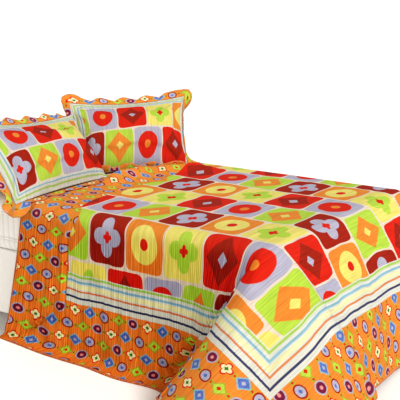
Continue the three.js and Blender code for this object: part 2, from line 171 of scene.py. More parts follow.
# ---- shader arithmetic ----
class Term:
    """A shader value. Arithmetic on it adds nodes."""

    def __init__(self, tree, socket):
        self.tree = tree
        self.socket = socket

    def math(self, operation, *others):
        return term(self.tree, "Math", dict(enumerate((self, *others))), operation=operation)

    def __neg__(self):
        return self * -1

    def under(self, edge, soft):
        """1 where the value is under edge, 0 over it, with a soft step between."""
        inputs = dict(enumerate((self, edge - soft, edge + soft, 1, 0)))
        return term(self.tree, "MapRange", inputs, interpolation_type="SMOOTHSTEP")

    def near(self, centre, width, soft):
        """1 within a line of that width, 0 outside it."""
        return (self - centre).abs().under(width / 2, soft)

    def noise(self, scale, detail=2.0, stretch=(1, 1, 1)):
        """Noise from 0 to 1 over this place, per metre."""
        moved = term(self.tree, "Mapping", {"Vector": self, "Scale": stretch})
        return term(self.tree, "TexNoise", {"Vector": moved, "Scale": scale, "Detail": detail})

    def parts(self):
        """This place's three coordinates."""
        outputs = term(self.tree, "SeparateXYZ", {0: self}).socket.node.outputs
        return [Term(self.tree, socket) for socket in outputs]

    def deepened(self, power):
        """This colour deeper and more saturated: painted shade, standing in for the light that the
        furrows of slack cloth pass to each other.
        """
        return term(self.tree, "Gamma", {0: self, 1: power})

    def shaded(self, factor):
        """This colour, lighter or darker by a factor that varies over the surface."""
        return term(self.tree, "VectorMath", {0: self, "Scale": factor}, operation="SCALE")

    def blend(self, below, above):
        """below where this mask is 0, above where it is 1. Each is a name or a colour."""
        below, above = (linear(side) if isinstance(side, str) else side for side in (below, above))
        return term(self.tree, "Mix", {0: self, 6: below, 7: above}, 2, data_type="RGBA")

    def pick(self, colours):
        """The colour whose place in the list is this value."""
        picked = term(self.tree, "ValToRGB", {0: (self + 0.5) / len(colours)})
        stops = picked.socket.node.color_ramp
        stops.interpolation = "CONSTANT"
        while len(stops.elements) < len(colours):
            stops.elements.new(1)
        for i in range(len(colours)):
            stops.elements[i].position = i / len(colours)
        for i, colour in enumerate(colours):
            stops.elements[i].color = colour
        return picked


for method, operation in {
    "__add__": "ADD", "__sub__": "SUBTRACT", "__mul__": "MULTIPLY", "__truediv__": "DIVIDE",
    "abs": "ABSOLUTE", "floor": "FLOOR", "wrap": "FLOORED_MODULO", "larger": "MAXIMUM",
    "smaller": "MINIMUM", "root": "SQRT", "sine": "SINE", "power": "POWER",
}.items():
    setattr(Term, method, partialmethod(Term.math, operation))


def feed(node, inputs):
    """Links or sets a node's inputs, each by its name or number."""
    for name, value in inputs.items():
        if isinstance(value, Term):
            value.tree.links.new(value.socket, node.inputs[name])
        else:
            node.inputs[name].default_value = value


def term(tree, kind, inputs=None, output=0, **settings):
    """An output of a new node that has these settings and inputs."""
    node = tree.nodes.new(f"ShaderNode{kind}")
    for name, value in settings.items():
        setattr(node, name, value)
    feed(node, inputs or {})
    return Term(tree, node.outputs[output])


def own(tree, kind="Object"):
    """A texture coordinate that the object carries with it."""
    return term(tree, "TexCoord", output=kind)


def fact(tree, name):
    """A number that the mesh carries at each point."""
    return term(tree, "Attribute", output="Fac", attribute_name=name)


def material_tree(name):
    material = bpy.data.materials.new(name)
    material.use_nodes = True
    tree = material.node_tree
    return material, tree, tree.nodes["Principled BSDF"]


def finish(shader, colour, height, strength, rough, sheen=0.0, specular=0.5):
    """Gives a shader its colour, its relief in millimetres and its shine."""
    relief = {"Strength": strength, "Distance": MM, "Height": height}
    feed(shader, {"Base Color": colour, "Normal": term(height.tree, "Bump", relief),
                  "Roughness": rough, "Sheen Weight": sheen, "Specular IOR Level": specular})


# ---- printed patterns ----
# Places in a cell run from -1 to 1. A ring is a part's name, its radius and how soft its edge is.
BLOCK_RINGS = (("motif", 0.68, 0.02), ("eye", 0.2, 0.02))
BLOCK_CORNER = {"power": 9, "edge": (0.955, 0.012)}
BLOCK_TURN = 2  # how far along the kinds of block each row starts
SPRIG_RINGS = (("edge", 0.72, 0.04), ("motif", 0.56, 0.04), ("eye", 0.2, 0.05))
SPRIG_TURN = 3
SPECK_WIDTH = 0.85
SPECK_RINGS = (("olive", 0.22, 0.03), ("red", 0.1, 0.03))
HALF_DROP = 0.5
DIAMOND_SIZE = 0.82
PETALS = {"waist": 0.62, "lobe": 0.45, "least": 0.001}
# A motif is its form, the colour of its ground or its edge, its own colour and its eye's.
BLOCKS = [dict(zip(("form", "ground", "motif", "eye"), row)) for row in (
    ("diamond", "red", "maroon", "lilac"), ("petals", "yellow", "lime", "red"),
    ("round", "orange", "yellow", "red"), ("petals", "maroon", "lilac", "red"),
    ("diamond", "lime", "orange", "yellow"), ("round", "lilac", "red", "orange"),
)]
SPRIGS = [dict(zip(("form", "edge", "motif", "eye"), row)) for row in (
    ("diamond", "sky", "blue", "lilac"), ("petals", "red", "cream", "leaf"),
    ("round", "lilac", "plum", "pink"), ("diamond", "olive", "lime", "red"),
    ("round", "maroon", "lilac", "blue"),
)]


def cells(u, v, pitch, kinds, turn):
    """Places within the cells of a repeat and each cell's kind. Alternate rows are moved along
    by half the pitch."""
    row = (u / pitch[0]).floor()
    along = v / pitch[1] + row.wrap(2) * HALF_DROP
    column = along.floor()
    x = (u / pitch[0] - row) * 2 - 1
    y = (along - column) * 2 - 1
    return x, y, (column + row * turn).wrap(kinds)


def coloured(kind, table, part):
    """The colour of a part of each kind's motif."""
    return kind.pick([linear(row[part]) for row in table])


def drawn(colour, x, y, kind, table, rings):
    """Each cell's motif over a colour, one ring within another, in the motif's own form."""
    square = x * x + y * y
    lobes = (x * x - y * y).abs() / square.larger(PETALS["least"])
    total = None
    for form, distance in {
        "diamond": (x.abs() + y.abs()) * DIAMOND_SIZE,
        "petals": square.root() / (lobes * PETALS["lobe"] + PETALS["waist"]),
        "round": square.root(),
    }.items():
        chosen = kind.pick([(float(row["form"] == form),) * 3 + (1,) for row in table])
        total = distance * chosen if total is None else total + distance * chosen
    for part, radius, soft in rings:
        colour = total.under(radius, soft).blend(colour, coloured(kind, table, part))
    return colour


def patchwork(u, v, pitch):
    """The field: soft-cornered blocks in a brick layout, with pale lines between them."""
    x, y, kind = cells(u, v, pitch, len(BLOCKS), BLOCK_TURN)
    colour = drawn(coloured(kind, BLOCKS, "ground"), x, y, kind, BLOCKS, BLOCK_RINGS)
    power = BLOCK_CORNER["power"]
    corner = (x.abs().power(power) + y.abs().power(power)).power(1 / power)
    return corner.under(*BLOCK_CORNER["edge"]).blend("gap", colour)


def sprigs(u, v):
    """The border: small outlined motifs in a half-drop repeat on orange, with specks between."""
    x, y, kind = cells(u, v, SPRIG_PITCH, len(SPRIGS), SPRIG_TURN)
    colour = drawn("orange", x, y, kind, SPRIGS, SPRIG_RINGS)
    speck = (x.abs() * SPECK_WIDTH).larger(-y.abs() + 1)
    for name, radius, soft in SPECK_RINGS:
        colour = speck.under(radius, soft).blend(colour, name)
    return colour


def striped(distance, lines):
    """Printed lines on white, each at its own distance."""
    colour = "white"
    for name, centre, width in lines:
        colour = distance.near(centre, width, LINE_SOFT).blend(colour, name)
    return colour


def paint_bedspread(u, v, wavy_u, wavy_v):
    past = (u.abs() - HALF_WIDTH).larger(-v - HALF_LENGTH)
    border = sprigs(wavy_u, wavy_v)
    field = patchwork(wavy_u + BLOCK_START[0], wavy_v + BLOCK_START[1], BLOCK_PITCH)
    colour = past.under(BAND["start"], LINE_SOFT).blend(striped(past, BAND_LINES), field)
    colour = past.under(BAND["end"], LINE_SOFT).blend(border, colour)
    colour = fact(u.tree, "head").under(0, LINE_SOFT).blend(border, colour)
    inside = (u - NEAR).smaller(-u + FAR).smaller(v - FOOT).smaller(-v + QUILT["head_past"])
    return inside.under(HEM, LINE_SOFT).blend(colour, "rust")


def paint_reverse(_u, _v, wavy_u, wavy_v):
    return sprigs(wavy_u, wavy_v)


def paint_sham(u, v, wavy_u, wavy_v):
    ends = (v + SHAM["width"] / 2).smaller(-v + (SHAM["width"] / 2 + SHAM_PULLED))
    inside = (-u.abs() + SHAM["height"] / 2).smaller(ends)
    field = patchwork(wavy_u + SHAM_BLOCK_START[0], wavy_v + SHAM_BLOCK_START[1], SHAM_BLOCK_PITCH)
    return inside.under(SHAM_BAND, LINE_SOFT).blend(field, striped(inside, SHAM_LINES))


def paint_flange(u, _v, wavy_u, wavy_v):
    hem = fact(u.tree, "edge").under(*FLANGE_HEM)
    return hem.blend(sprigs(wavy_u + FLANGE_SPRIG_START, wavy_v), "rust")


# ---- quilted cloth ----
# Noises: scale per metre, detail and stretch.
CRINKLE = (26, 3.0, (0.35, 3.0, 1))
STREAK = (60, 3.0, (0.12, 2.2, 1))
WEAVE = (900, 2.0)
WANDERS = ((5.5, 1.0), (4.1, 1.0, (1.3, 1, 1)))
CHANNEL = {"pitch": 10, "power": 0.6}
# What each adds to the gamma of the painted deepening where the slack-and-shade mask is 1, to the
# factor of painted shade in the quilting's channels, crinkles and streaks, and to the relief in
# millimetres. A pair is what it adds anywhere and what that mask adds to it.
PAINTED_GAMMA = {"ridge": -0.3, "streak": -0.9, "rest": 0.98}
PAINTED_SHADE = {"ridge": (0.05, 0.08), "furrow": 0.94, "crinkle": 0.4, "rest": 0.8, "streak": (0.27, 0.4)}
RELIEF = {"ridge": (0.54, 0.9), "streak": (0.4, 1.6), "crinkle": 3.2, "weave": 0.12}
RELIEF_STRENGTH = 0.8
SHINE = (0.85, 0.03, 0.1)  # roughness, sheen and specular
# Painted shade: the shams' print is this much darker than the quilt's, for the less light they
# stand in.
SHAM_PAINTED_SHADE = 0.92


def cloth_surface(name, painter, tone=1.0):
    """A printed, channel-quilted cotton. Its print carries painted shade: darker in the channels'
    furrows, with the crinkles and in streaks, and deeper and more saturated where the
    slack-and-shade mask is high. tone darkens the whole print as painted shade, for cloth that
    stands in less light.
    painter gives the colour from the cloth's place in millimetres, plain and with the slight wander
    of a hand-drawn line."""
    material, tree, shader = material_tree(name)
    place = term(tree, "UVMap")
    crinkle = place.noise(*CRINKLE)
    u, v = (part / MM for part in place.parts()[:2])
    u = u + (crinkle - 0.5) * CRINKLE_SHIFT
    wavy = (at + (place.noise(*wander) - 0.5) * 2 * WANDER
            for at, wander in zip((u, v), WANDERS))
    ridge = (v * (math.pi / CHANNEL["pitch"])).sine().abs().power(CHANNEL["power"])
    streak = place.noise(*STREAK)
    # how loose the drops hang, which also sets how deep their painted shade is
    slack_and_shade = fact(tree, "slack_and_shade")

    def by_slack_shade(pair):
        return slack_and_shade * pair[1] + pair[0]

    # Painted shade: the print is made deeper where the drops hang slack, and darker in the
    # channels' furrows, with the crinkles and in streaks.
    painted_gamma = ridge * PAINTED_GAMMA["ridge"] + streak * PAINTED_GAMMA["streak"] + PAINTED_GAMMA["rest"]
    channel_shade = ridge * by_slack_shade(PAINTED_SHADE["ridge"]) + PAINTED_SHADE["furrow"]
    crinkle_shade = crinkle * PAINTED_SHADE["crinkle"] + PAINTED_SHADE["rest"]
    streak_shade = (streak - 0.5) * by_slack_shade(PAINTED_SHADE["streak"]) + 1
    colour = painter(u, v, *wavy).deepened(slack_and_shade * painted_gamma + 1)
    height = ridge * by_slack_shade(RELIEF["ridge"]) + streak * by_slack_shade(RELIEF["streak"])
    height = height + crinkle * RELIEF["crinkle"] + place.noise(*WEAVE) * RELIEF["weave"]
    colour = colour.shaded(channel_shade * crinkle_shade * tone * streak_shade)
    finish(shader, colour, height, RELIEF_STRENGTH, *SHINE)
    return material


# ---- meshes ----
def bed_place(points):
    """Points in the bed's own millimetres, as scene metres."""
    low, high = (np.array(corner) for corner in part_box("mattress"))
    middle = (low + high) / 2
    return points * MM + np.array([middle[0], middle[1], 0])


def added(name, data):
    """A new object in the scene."""
    thing = bpy.data.objects.new(name, data)
    bpy.context.scene.collection.objects.link(thing)
    return thing


def placed(name, mesh, node):
    """A smooth mesh as a piece that stands for a node of the frame."""
    mesh.polygons.foreach_set("use_smooth", np.ones(len(mesh.polygons), dtype=bool))
    piece = added(name, mesh)
    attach(piece, "root")
    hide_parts(node)
    return piece


def shell(name, node, sides, places, materials, looped=False, facts=None):
    """A closed mesh between two grids of points, joined by a rim along their open edges. facts
    are further numbers that its material reads at each point."""
    upper, lower = sides
    rows, columns = upper.shape[:2]
    index = np.arange(rows * columns).reshape(rows, columns)
    if looped:
        index = np.vstack([index, index[:1]])
    quads = np.stack([index[:-1, :-1], index[:-1, 1:], index[1:, 1:], index[1:, :-1]], -1)
    quads = quads.reshape(-1, 4)
    under = rows * columns
    edges = [(index[:-1, -1], index[1:, -1]), (index[1:, 0], index[:-1, 0])]
    if not looped:
        edges += [(index[0, :-1], index[0, 1:]), (index[-1, 1:], index[-1, :-1])]
    rims = [np.stack([b, a, a + under, b + under], -1) for a, b in edges]
    faces = np.concatenate([quads, quads[:, ::-1] + under, *rims])
    points = np.concatenate([upper.reshape(-1, 3), lower.reshape(-1, 3)])
    mesh = bpy.data.meshes.new(name)
    mesh.from_pydata(bed_place(points).tolist(), [], faces.tolist())
    flat = np.concatenate([places.reshape(-1, 2)] * 2) * MM
    layer = mesh.uv_layers.new(name="cloth")
    layer.data.foreach_set("uv", flat[faces.ravel()].ravel())
    for label, values in (facts or {}).items():
        attribute = mesh.attributes.new(label, "FLOAT", "POINT")
        attribute.data.foreach_set("value", np.tile(values.ravel(), 2).astype(np.float32))
    kinds = np.zeros(len(faces), dtype=np.int32)
    kinds[len(quads):2 * len(quads)] = len(materials) - 1
    for material in materials:
        mesh.materials.append(material)
    mesh.polygons.foreach_set("material_index", kinds)
    return placed(name, mesh, node)


def grid_normals(points):
    """The unit normals of a grid of points."""
    down = np.gradient(points, axis=0)
    across = np.gradient(points, axis=1)
    normals = np.cross(across, down)
    return normals / np.maximum(np.linalg.norm(normals, axis=-1, keepdims=True), TINY)


def table_curve(table, column):
    """A smooth curve through a table's rows without overshoot, as in the frame's source."""
    x, y = table[:, 0], table[:, column]
    width = np.diff(x)
    rise = np.diff(y) / width
    slope = np.empty_like(y)
    slope[0], slope[-1] = rise[0], rise[-1]
    same = rise[:-1] * rise[1:]
    total = rise[:-1] + rise[1:]
    slope[1:-1] = np.where(same > 0, 2 * same / np.where(total == 0, 1, total), 0)

    def curve(at):
        at = np.clip(at, x[0], x[-1])
        i = np.clip(np.searchsorted(x, at, side="right") - 1, 0, len(width) - 1)
        h = width[i]
        k = (at - x[i]) / h
        start = y[i] * (1 + 2 * k) * (1 - k) ** 2 + y[i + 1] * k * k * (3 - 2 * k)
        return start + h * slope[i] * k * (1 - k) ** 2 - h * slope[i + 1] * k * k * (1 - k)

    return curve


def draped(u, v):
    """Where flat points of the cloth lie once draped over the bed, as in the frame's source."""
    level = MATTRESS["top"] + TOUCH + QUILT["thick"] / 2
    floor = QUILT["floor_gap"] + QUILT["thick"] / 2
    bend_x, bend_y = HALF_WIDTH - QUILT["edge"], HALF_LENGTH - QUILT["edge"]
    past = np.abs(u) - bend_x
    below = -v - bend_y
    beside, beyond = past > 0, below > 0
    corner = beside & beyond
    turn = np.arctan2(below, np.where(past == 0, TINY, past))
    along = np.where(corner, CORNER_SPAN * turn / (math.pi / 2), below)
    along = np.where(beyond & ~beside, CORNER_SPAN - past, along)
    run = np.where(corner, np.hypot(past, below), np.maximum(np.maximum(past, below), 0))
    aim_top, aim_hem, flare_top, flare_hem = (table_curve(FOLDS, i)(along) for i in range(1, 5))
    square = np.where(along > CORNER_SPAN / 2, 90, 0)
    aslant = (along < 0) | (along > CORNER_SPAN)
    bend = QUILT["bend"] / np.cos(np.radians(np.where(aslant, aim_top - square, 0)))
    x = -np.minimum(np.abs(u), bend_x)
    y = np.maximum(v, -bend_y)
    z = np.full_like(x, level)
    step = run / QUILT["steps"]
    for i in range(QUILT["steps"]):
        gone = (i + 0.5) * step
        turned = np.clip(gone / bend, 0, 1)
        lower = np.clip(gone / QUILT["steepen"], 0, 1)
        flare = flare_top + (flare_hem - flare_top) * lower
        aim = np.radians(aim_top + (aim_hem - aim_top) * lower)
        landing = np.clip((z - floor) / QUILT["landing"], 0, 1)
        down = np.sin(np.radians((90 - flare) * turned)) * np.sqrt(landing)
        out = np.sqrt(1 - down * down)
        x = x - np.cos(aim) * out * step
        y = y - np.sin(aim) * out * step
        z = z - down * step
    return np.stack([x * np.where(u > 0, -1, 1), y, z], -1)


def grid_lines(*spans):
    """Grid lines from spans of (start, end, step)."""
    pieces = [np.linspace(start, end, max(round((end - start) / step), 1), endpoint=False)
              for start, end, step in spans]
    return np.concatenate([*pieces, [spans[-1][1]]])


def lattice(x, y, seed, size=64):
    """Smooth noise from -1 to 1, with one seeded random value to each whole place."""
    values = np.random.default_rng(seed).uniform(-1, 1, (size, size))
    i, j = np.floor(x).astype(int), np.floor(y).astype(int)
    fx, fy = x - i, y - j
    fx, fy = fx * fx * (3 - 2 * fx), fy * fy * (3 - 2 * fy)
    low, high = (
        values[i % size, row % size] * (1 - fx) + values[(i + 1) % size, row % size] * fx
        for row in (j, j + 1)
    )
    return low * (1 - fy) + high * fy


def ramp(value, start, end):
    """0 up to start and 1 from end on, smooth between."""
    k = np.clip((value - start) / (end - start), 0, 1)
    return k * k * (3 - 2 * k)


def hump(value, centre, width):
    """A bell that is 1 at its centre."""
    return np.exp(-((value - centre) / width) ** 2)


# ---- folds in the bedspread, in millimetres ----
# A wave is its height, how much more it stands out at the hem and the power with which it grows
# there, its length along the hem and down the cloth, and a seed.
SIDE_WAVES = ((4, 0, 1, 33, 240, 3), (3, 8, 1, 92, 420, 5), (0, 7, 2, 38, 60, 17))
FOOT_WAVES = ((3, 0, 1, 33, 240, 7), (7, 8, 1, 88, 520, 9), (0, 10, 2, 45, 60, 15))
HANGING = {"start": (20, 260), "corner": (160, -40), "lower": (100, 690)}
# A wave on the bed's top is its height, its length across and along the bed, and a seed.
TOP_WAVES = ((1.6, 70, 34, 11), (2.4, 170, 90, 13))
TOP = {"inside": (-20, -90), "under_shams": (262, 236), "raised": 3}
HEAD_WAVES = {"from": (40, 100), "wave": (2.4, 48, 19, 29)}
# A lip and the furrow beside it are each a height, a centre and a width.
CREASE = {  # along the head end of the printed field, on the near side
    "side": (-640, -720), "lower": (940, 1120), "lip": (11, 19, 14), "furrow": (-9, -1, 6),
}
PINCH = {  # aslant, low on the near side
    "u": -1125, "width": 60, "start": (-1135, 140), "slope": 0.9,
    "lip": (14, 17, 12), "furrow": (-20, -2, 8),
}
TROUGH = {  # beside the fold at the near foot corner, nearer to the foot the lower it is
    "start": (-620, -1000), "reach": (650, 530), "most": 1.1, "power": 1.2,
    "side": (640, 900), "lower": (950, 1100), "depth": (44, 14), "lip": (16, -46, 26), "width": 26,
}
HEAD_EDGE = {
    "near": 20, "rise": 50, "over": (-700, -300), "slope": 0.16, "from": 200,
    "dip": (58, -600, 70),
}
ROLL = {  # a soft slope of cloth pushed up in front of the far sham
    "crest": 52, "head": 236, "height": (33, 10), "higher": (210, 130), "front": 66, "back": 24,
    "crumple": (0.16, 75, 26, 19), "near_end": (-170, -60), "far_end": (500, 400),
}
# How the print is drawn along on each drop: how far, length along the hem and down, and a seed.
FOOT_PUCKERS = ((6, 75, 300, 21), (1.2, 22, 200, 23))
SIDE_PUCKERS = ((3, 60, 300, 25), (1.2, 20, 200, 27))
PUCKERED = 200
# Where the drops hang loose: their channels' relief is deeper there, and their print is painted
# deeper and darker as shade.
SLACK_AND_SHADE = {"hanging": (0, 110), "corner": (80, -60), "foot": 0.12}
LOOSE = (8, 60)  # how high above the floor the folds start, and are whole
HEM_BEAD = (1.2, 4, 5)


def lip_and_furrow(across, fold):
    """How far a creased fold stands out, across its line."""
    return sum(height * hump(across, centre, width)
               for height, centre, width in (fold["lip"], fold["furrow"]))


def past_edges(u, v):
    """How far past the mattress's side and past its foot."""
    return np.abs(u) - HALF_WIDTH, -v - HALF_LENGTH


def head_edge(u):
    """How far up the bed the printed field ends: further up towards the far side, with a dip
    where the cloth is pulled over the near edge."""
    height, centre, width = HEAD_EDGE["dip"]
    rise = HEAD_EDGE["rise"] * ramp(u, *HEAD_EDGE["over"])
    rise = HEAD_EDGE["near"] + rise + HEAD_EDGE["slope"] * np.maximum(u - HEAD_EDGE["from"], 0)
    return rise - height * hump(u, centre, width)


def hanging(along, down, round_corner, waves):
    """Crumples of a drop, which end where it turns round the corner and grow to the hem."""
    lower = ramp(down, *HANGING["lower"])
    rise = sum((height + hem * lower ** power) * lattice(along / length, down / drop, seed)
               for height, hem, power, length, drop, seed in waves)
    return rise * ramp(down, *HANGING["start"]) * ramp(round_corner, *HANGING["corner"])


def folds(u, v):
    """How far the cloth stands out from its smooth drape."""
    past, below = past_edges(u, v)
    rise = hanging(v, past, below, SIDE_WAVES) + hanging(u, below, past, FOOT_WAVES)
    crease = lip_and_furrow(v - head_edge(u), CREASE)
    rise += crease * ramp(u, *CREASE["side"]) * (1 - ramp(-u, *CREASE["lower"]))
    start_u, start_v = PINCH["start"]
    pinch = lip_and_furrow(v - start_v - (start_u - u) * PINCH["slope"], PINCH)
    rise += pinch * hump(u, PINCH["u"], PINCH["width"])
    start_u, start_v = TROUGH["start"]
    reach_u, reach_v = TROUGH["reach"]
    lowness = np.clip((start_u - u) / reach_u, 0, TROUGH["most"]) ** TROUGH["power"]
    shallow, deeper = TROUGH["depth"]
    depth = shallow + deeper * ramp(-u, *TROUGH["lower"])
    trough = {"lip": TROUGH["lip"], "furrow": (-depth, 0, TROUGH["width"])}
    valley = lip_and_furrow(v - start_v - reach_v * lowness, trough)
    rise += valley * ramp(-u, *TROUGH["side"])
    top = ramp(past, *TOP["inside"]) * ramp(below, *TOP["inside"]) * ramp(v, *TOP["under_shams"])
    rise += top * TOP["raised"]
    for height, across, along, seed in TOP_WAVES:
        rise += top * height * lattice(u / across, v / along, seed)
    height, across, along, seed = HEAD_WAVES["wave"]
    rise += top * ramp(v, *HEAD_WAVES["from"]) * height * lattice(u / across, v / along, seed)
    return rise + roll(u, v)


def roll(u, v):
    """The slope of cloth in front of the far sham."""
    start, end = np.array(SHAMS[1]["corners"])[:2, :2]
    way = (end - start) / np.linalg.norm(end - start)
    ahead = (u - start[0]) * way[1] - (v - start[1]) * way[0]
    across = np.maximum(ROLL["crest"] - ahead, v - ROLL["head"])
    low, higher = ROLL["height"]
    height = low + higher * ramp(u, *ROLL["higher"])
    shape = height * hump(across, 0, np.where(across < 0, ROLL["front"], ROLL["back"]))
    share, length, depth, seed = ROLL["crumple"]
    crumple = 1 + share * lattice(u / length, v / depth, seed)
    return shape * crumple * ramp(u, *ROLL["near_end"]) * ramp(u, *ROLL["far_end"])


def puckered(along, down, round_corner, puckers):
    """How far a drop's print is drawn along by its puckers."""
    shift = sum(reach * lattice(along / length, down / drop, seed)
                for reach, length, drop, seed in puckers)
    return shift * ramp(down, 0, PUCKERED) * ramp(round_corner, PUCKERED, 0)


def slack_and_shade_mask(u, v):
    """How loose the quilting's channels hang, and how much deeper and darker their print is painted
    there as shade: most on the drops beside the bed.
    """
    past, below = past_edges(u, v)
    side = ramp(past, *SLACK_AND_SHADE["hanging"]) * ramp(below, *SLACK_AND_SHADE["corner"])
    return np.maximum(side, SLACK_AND_SHADE["foot"] * ramp(below, *SLACK_AND_SHADE["hanging"]))


def bedspread(top, reverse):
    """The quilted cloth over the bed, with a grid that is finest where it folds."""
    head = QUILT["head_past"]
    across = grid_lines((NEAR, NEAR + 24, 6), (NEAR + 24, -760, 20), (-760, -300, 12),
                        (-300, 300, 30), (300, 760, 12), (760, FAR - 24, 24), (FAR - 24, FAR, 6))
    rows = grid_lines((FOOT, FOOT + 24, 6), (FOOT + 24, -1100, 10), (-1100, -700, 6),
                      (-700, -20, 7.2), (-20, 60, 4), (60, head, 6.7))
    u, v = np.meshgrid(across, rows)
    middle = draped(u, v)
    rise = folds(u, v) * ramp(middle[..., 2], *LOOSE)
    middle = middle + grid_normals(middle) * rise[..., None]
    hem = np.minimum(np.minimum(u - NEAR, FAR - u), np.minimum(v - FOOT, head - v))
    height, inset, spread = HEM_BEAD
    thick = QUILT["thick"] / 2 + height * hump(hem, inset, spread)
    half = grid_normals(middle) * thick[..., None]
    past, below = past_edges(u, v)
    places = np.stack([u + puckered(v, past, below, SIDE_PUCKERS),
                       v + puckered(u, below, past, FOOT_PUCKERS)], -1)
    upper, lower = middle + half, middle - half
    lowest = np.minimum(upper[..., 2], lower[..., 2])
    lift = np.maximum(QUILT["floor_gap"] - lowest, 0)[..., None] * np.array([0, 0, 1])
    # the drops' slack deepens both their relief and the painted shade on their print
    piece = shell("bedspread", "quilt", (upper + lift, lower + lift), places,
                  [top, reverse], facts={"head": v - head_edge(u), "slack_and_shade": slack_and_shade_mask(u, v)})


# ---- shams, flanges and pillows ----
def seam_plane(corners, draw_in, top_draw_in):
    """Where each place on a filled cover's seam plane lies, and the plane's normal."""
    bl, br, tr, tl = np.array(corners, dtype=float)

    def point(s, t):
        x = (1 + s * (1 - draw_in * (1 - t * t)))[..., None] / 2
        ends = draw_in + (top_draw_in - draw_in) * np.maximum(t, 0)
        y = (1 + t * (1 - ends * (1 - s * s)))[..., None] / 2
        return (bl + (br - bl) * x) * (1 - y) + (tl + (tr - tl) * x) * y

    normal = np.cross(br - tl, tr - bl)
    return point, normal / np.linalg.norm(normal)


def fullness(s, t, slump=0.0, rightward=0.0):
    """How full a cover stands, from 0 at its seam to 1. The filling may slump towards its foot,
    and stay fuller towards its right."""
    low = np.abs(t + slump * (1 - t * t))
    side = np.abs(s) ** (CROWN["side"] + rightward * np.maximum(s, 0))
    return ((1 - side) * np.maximum(1 - low ** CROWN["low"], 0)) ** CROWN["round"]


def filled(name, node, corners, sizes, front, back, materials, pulled_under=0):
    """A filled cover: its two faces share a seam, which stays where it is while the faces
    settle. front and back give each face's height. The cloth may be pulled under its foot."""
    draw_in = sizes["draw_in"]
    point, normal = seam_plane(corners, draw_in, sizes.get("top_draw_in", draw_in))

    def grid_line(size):
        k = np.linspace(-1, 1, round(size / sizes["pitch"]) + 1)
        return np.sin(SEAMWARD * k) / math.sin(SEAMWARD)

    s, t = np.meshgrid(grid_line(sizes["width"]), grid_line(sizes["height"]))
    middle = point(s, t)
    faces = (middle + normal * (sizes["seam"] + front(s, t))[..., None],
             middle - normal * (sizes["seam"] + back(s, t))[..., None])
    u = t * sizes["height"] / 2 + pulled_under * (1 - t) / 2
    places = np.stack([u, s * sizes["width"] / 2], -1)
    piece = shell(name, node, faces, places, materials)
    rim = np.zeros(s.shape, dtype=bool)
    rim[[0, -1], :] = rim[:, [0, -1]] = True
    return piece, np.concatenate([rim.ravel(), rim.ravel()])


def settle(piece, held, kind):
    """Lets a cover wrinkle by cloth simulation, and keeps each point within limits."""
    pressure, growth, most_out, most_in = SETTLING[kind]
    most_out, most_in = most_out * MM, most_in * MM
    group = piece.vertex_groups.new(name="seam")
    group.add([int(i) for i in np.flatnonzero(held)], 1.0, "ADD")
    cloth = piece.modifiers.new("cloth", "CLOTH")
    for name, value in CLOTH.items():
        setattr(cloth.settings, name, value)
    cloth.settings.uniform_pressure_force = pressure
    cloth.settings.shrink_min = -growth
    cloth.settings.effector_weights.gravity = 0
    cloth.collision_settings.use_collision = False
    cloth.collision_settings.use_self_collision = False
    cloth.point_cache.frame_end = SETTLING_FRAMES
    for number in range(1, SETTLING_FRAMES + 1):
        bpy.context.scene.frame_set(number)
    settled = piece.evaluated_get(bpy.context.evaluated_depsgraph_get()).to_mesh()

    def read(items, name):
        values = np.empty(len(items) * 3)
        items.foreach_get(name, values)
        return values.reshape(-1, 3)

    before = read(piece.data.vertices, "co")
    normals = read(piece.data.vertex_normals, "vector")
    move = read(settled.vertices, "co") - before
    out = np.sum(move * normals, axis=1, keepdims=True)
    sideways = move - out * normals
    most = np.where(out > 0, most_out, most_in)
    out = np.tanh(out / most) * most
    reach = np.linalg.norm(sideways, axis=1, keepdims=True)
    sideways = sideways * np.tanh(reach / most_in) * most_in / np.maximum(reach, TINY)
    after = before + out * normals + sideways
    piece.modifiers.remove(cloth)
    piece.vertex_groups.remove(group)
    piece.data.vertices.foreach_set("co", after.ravel())
    piece.data.update()
    bpy.context.scene.frame_set(1)


def sham_body(sham, materials):
    """A filled sham, a little under its solid's size so that its wrinkles stay within it."""
    front, back = SHAM["front_crown"] * LEANER["front"], SHAM["back_crown"] * LEANER["back"]
    name = sham["name"]
    piece, rim = filled(
        f"sham_cover_{name}", f"sham_{name}", sham["corners"], SHAM,
        lambda s, t: front * fullness(s, t, SHAM["slump"], SHAM["rightward"]),
        lambda s, t: back * fullness(s, t, SHAM["slump"]), materials, sham["pulled_under"])
    settle(piece, rim, "sham")


